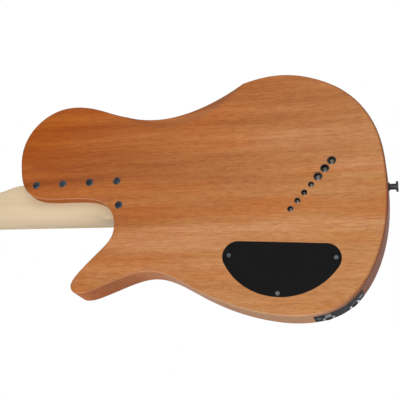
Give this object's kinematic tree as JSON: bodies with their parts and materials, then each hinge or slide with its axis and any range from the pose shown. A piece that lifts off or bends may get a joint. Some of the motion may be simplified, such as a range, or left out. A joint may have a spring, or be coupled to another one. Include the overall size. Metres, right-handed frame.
{
  "type": "electric guitar",
  "caption": "Solid-body electric guitar with fanned frets, bolt-on neck, slanted single-string bridges, string-through ferrules, two pickups and side-wall jacks.",
  "frame": {"origin": "middle of the tail strap button's head, on the centre line at mid body thickness", "axes": "+Z from the tail towards the headstock, -Y out of the playing side, +Y out of the back, +X towards the treble side"},
  "size_m": [0.3129, 0.0558, 0.9936],
  "materials": {
    "body_wood": "satin oiled",
    "maple": "satin",
    "fretboard_wood": "satin",
    "bone": "satin",
    "marker_black": "matte",
    "fret_wire": "polished",
    "string_steel": "satin",
    "brass": "satin",
    "bright_chrome": "polished",
    "black_nickel": "black nickel",
    "black_metal": "satin black",
    "blue_black_metal": "satin blue-black",
    "screw_black": "black oxide",
    "steel": "plain",
    "pickup_plastic": "satin",
    "cover_plastic": "satin",
    "coil_plastic": "matte",
    "foam": "matte",
    "pot_metal": "plain",
    "jack_plastic": "matte",
    "wire_plastic": "matte"
  },
  "bodies": {
    "instrument": {"body": "body_wood", "neck": "maple", "fretboard": "fretboard_wood", "frets": "fret_wire", "nut": "bone", "position_markers": "marker_black", "truss_rod": "steel", "neck_screws": "blue_black_metal", "neck_screw_cups": "black_nickel", "bass_ferrules": "black_nickel", "guitar_ferrules": "black_nickel", "bridge_bases": "black_metal", "bridge_screws": "screw_black", "intonation_screws": "screw_black", "neck_pickup_cover": "pickup_plastic", "bridge_pickup_cover": "pickup_plastic", "pickup_coils": "coil_plastic", "pickup_screws": "screw_black", "pickup_foam": "foam", "control_pots": "pot_metal", "toggle_switch": "jack_plastic", "control_nuts": "bright_chrome", "jack_plate": "blue_black_metal", "jack_sockets": "jack_plastic", "plate_screws": "screw_black", "strap_buttons": "black_metal", "strap_screws": "screw_black", "control_cover": "cover_plastic", "wiring": "wire_plastic", "tuner_housings": "black_metal", "tuner_bushings": "black_nickel", "tuner_screws": "screw_black", "strings": "string_steel", "ball_ends": "brass"},
    "saddle_1": {"saddle_1": "black_metal"},
    "saddle_2": {"saddle_2": "black_metal"},
    "saddle_3": {"saddle_3": "black_metal"},
    "saddle_4": {"saddle_4": "black_metal"},
    "saddle_5": {"saddle_5": "black_metal"},
    "saddle_6": {"saddle_6": "black_metal"},
    "saddle_7": {"saddle_7": "black_metal"},
    "tuner_key_1": {"tuner_key_1": "black_metal"},
    "tuner_key_2": {"tuner_key_2": "black_metal"},
    "tuner_key_3": {"tuner_key_3": "black_metal"},
    "tuner_key_4": {"tuner_key_4": "black_metal"},
    "tuner_key_5": {"tuner_key_5": "black_metal"},
    "tuner_key_6": {"tuner_key_6": "black_metal"},
    "tuner_key_7": {"tuner_key_7": "black_metal"},
    "tuner_post_1": {"tuner_post_1": "black_nickel"},
    "tuner_post_2": {"tuner_post_2": "black_nickel"},
    "tuner_post_3": {"tuner_post_3": "black_nickel"},
    "tuner_post_4": {"tuner_post_4": "black_nickel"},
    "tuner_post_5": {"tuner_post_5": "black_nickel"},
    "tuner_post_6": {"tuner_post_6": "black_nickel"},
    "tuner_post_7": {"tuner_post_7": "black_nickel"},
    "knob_1": {"knob_1": "black_metal"},
    "knob_2": {"knob_2": "black_metal"},
    "knob_3": {"knob_3": "black_metal"},
    "toggle_lever": {"toggle_lever": "bright_chrome"},
    "truss_wheel": {"truss_wheel": "steel"}
  },
  "joints": [
    {"name": "saddle_slide_1", "type": "slide", "parent": "instrument", "child": "saddle_1", "axis": [0, 0, 1], "range_m": [-0.005, 0.005], "deforming": ["strings"]},
    {"name": "saddle_slide_2", "type": "slide", "parent": "instrument", "child": "saddle_2", "axis": [0, 0, 1], "range_m": [-0.005, 0.005], "deforming": ["strings"]},
    {"name": "saddle_slide_3", "type": "slide", "parent": "instrument", "child": "saddle_3", "axis": [0, 0, 1], "range_m": [-0.005, 0.005], "deforming": ["strings"]},
    {"name": "saddle_slide_4", "type": "slide", "parent": "instrument", "child": "saddle_4", "axis": [0, 0, 1], "range_m": [-0.005, 0.005], "deforming": ["strings"]},
    {"name": "saddle_slide_5", "type": "slide", "parent": "instrument", "child": "saddle_5", "axis": [0, 0, 1], "range_m": [-0.005, 0.005], "deforming": ["strings"]},
    {"name": "saddle_slide_6", "type": "slide", "parent": "instrument", "child": "saddle_6", "axis": [0, 0, 1], "range_m": [-0.005, 0.005], "deforming": ["strings"]},
    {"name": "saddle_slide_7", "type": "slide", "parent": "instrument", "child": "saddle_7", "axis": [0, 0, 1], "range_m": [-0.005, 0.005], "deforming": ["strings"]},
    {"name": "key_turn_1", "type": "hinge", "parent": "instrument", "child": "tuner_key_1", "pos_m": [-0.027, 0.0085, 0.8534], "axis": [-1, 0, 0], "continuous": true},
    {"name": "key_turn_2", "type": "hinge", "parent": "instrument", "child": "tuner_key_2", "pos_m": [-0.0205, 0.0085, 0.8934], "axis": [-1, 0, 0], "continuous": true},
    {"name": "key_turn_3", "type": "hinge", "parent": "instrument", "child": "tuner_key_3", "pos_m": [-0.014, 0.0085, 0.9334], "axis": [-1, 0, 0], "continuous": true},
    {"name": "key_turn_4", "type": "hinge", "parent": "instrument", "child": "tuner_key_4", "pos_m": [0.0085, 0.0073, 0.946], "axis": [1, 0, 0], "continuous": true},
    {"name": "key_turn_5", "type": "hinge", "parent": "instrument", "child": "tuner_key_5", "pos_m": [0.014, 0.0073, 0.914], "axis": [1, 0, 0], "continuous": true},
    {"name": "key_turn_6", "type": "hinge", "parent": "instrument", "child": "tuner_key_6", "pos_m": [0.0195, 0.0073, 0.882], "axis": [1, 0, 0], "continuous": true},
    {"name": "key_turn_7", "type": "hinge", "parent": "instrument", "child": "tuner_key_7", "pos_m": [0.025, 0.0073, 0.85], "axis": [1, 0, 0], "continuous": true},
    {"name": "post_turn_1", "type": "hinge", "parent": "instrument", "child": "tuner_post_1", "pos_m": [-0.027, 0.002, 0.8639], "axis": [0, -1, 0], "continuous": true, "deforming": ["strings"]},
    {"name": "post_turn_2", "type": "hinge", "parent": "instrument", "child": "tuner_post_2", "pos_m": [-0.0205, 0.002, 0.9039], "axis": [0, -1, 0], "continuous": true, "deforming": ["strings"]},
    {"name": "post_turn_3", "type": "hinge", "parent": "instrument", "child": "tuner_post_3", "pos_m": [-0.014, 0.002, 0.9439], "axis": [0, -1, 0], "continuous": true, "deforming": ["strings"]},
    {"name": "post_turn_4", "type": "hinge", "parent": "instrument", "child": "tuner_post_4", "pos_m": [0.0085, 0.002, 0.9539], "axis": [0, -1, 0], "continuous": true, "deforming": ["strings"]},
    {"name": "post_turn_5", "type": "hinge", "parent": "instrument", "child": "tuner_post_5", "pos_m": [0.014, 0.002, 0.9219], "axis": [0, -1, 0], "continuous": true, "deforming": ["strings"]},
    {"name": "post_turn_6", "type": "hinge", "parent": "instrument", "child": "tuner_post_6", "pos_m": [0.0195, 0.002, 0.8899], "axis": [0, -1, 0], "continuous": true, "deforming": ["strings"]},
    {"name": "post_turn_7", "type": "hinge", "parent": "instrument", "child": "tuner_post_7", "pos_m": [0.025, 0.002, 0.8579], "axis": [0, -1, 0], "continuous": true, "deforming": ["strings"]},
    {"name": "knob_turn_1", "type": "hinge", "parent": "instrument", "child": "knob_1", "pos_m": [0.10448, -0.027, 0.17046], "axis": [0, -1, 0], "range_deg": [-150, 150]},
    {"name": "knob_turn_2", "type": "hinge", "parent": "instrument", "child": "knob_2", "pos_m": [0.10629, -0.027, 0.13693], "axis": [0, -1, 0], "range_deg": [-150, 150]},
    {"name": "knob_turn_3", "type": "hinge", "parent": "instrument", "child": "knob_3", "pos_m": [0.10811, -0.027, 0.1034], "axis": [0, -1, 0], "range_deg": [-150, 150]},
    {"name": "toggle_tilt", "type": "hinge", "parent": "instrument", "child": "toggle_lever", "pos_m": [0.086, -0.0198, 0.14928], "axis": [1, 0, 0], "range_deg": [-14, 14]},
    {"name": "truss_wheel_turn", "type": "hinge", "parent": "instrument", "child": "truss_wheel", "pos_m": [0, -0.015, 0.29394], "axis": [0, 0, 1], "range_deg": [-180, 180]}
  ],
  "couplings": [
    {"joint": "post_turn_1", "follows": "key_turn_1", "ratio": -0.066667},
    {"joint": "post_turn_2", "follows": "key_turn_2", "ratio": -0.066667},
    {"joint": "post_turn_3", "follows": "key_turn_3", "ratio": -0.066667},
    {"joint": "post_turn_4", "follows": "key_turn_4", "ratio": 0.066667},
    {"joint": "post_turn_5", "follows": "key_turn_5", "ratio": 0.066667},
    {"joint": "post_turn_6", "follows": "key_turn_6", "ratio": 0.066667},
    {"joint": "post_turn_7", "follows": "key_turn_7", "ratio": 0.066667}
  ]
}
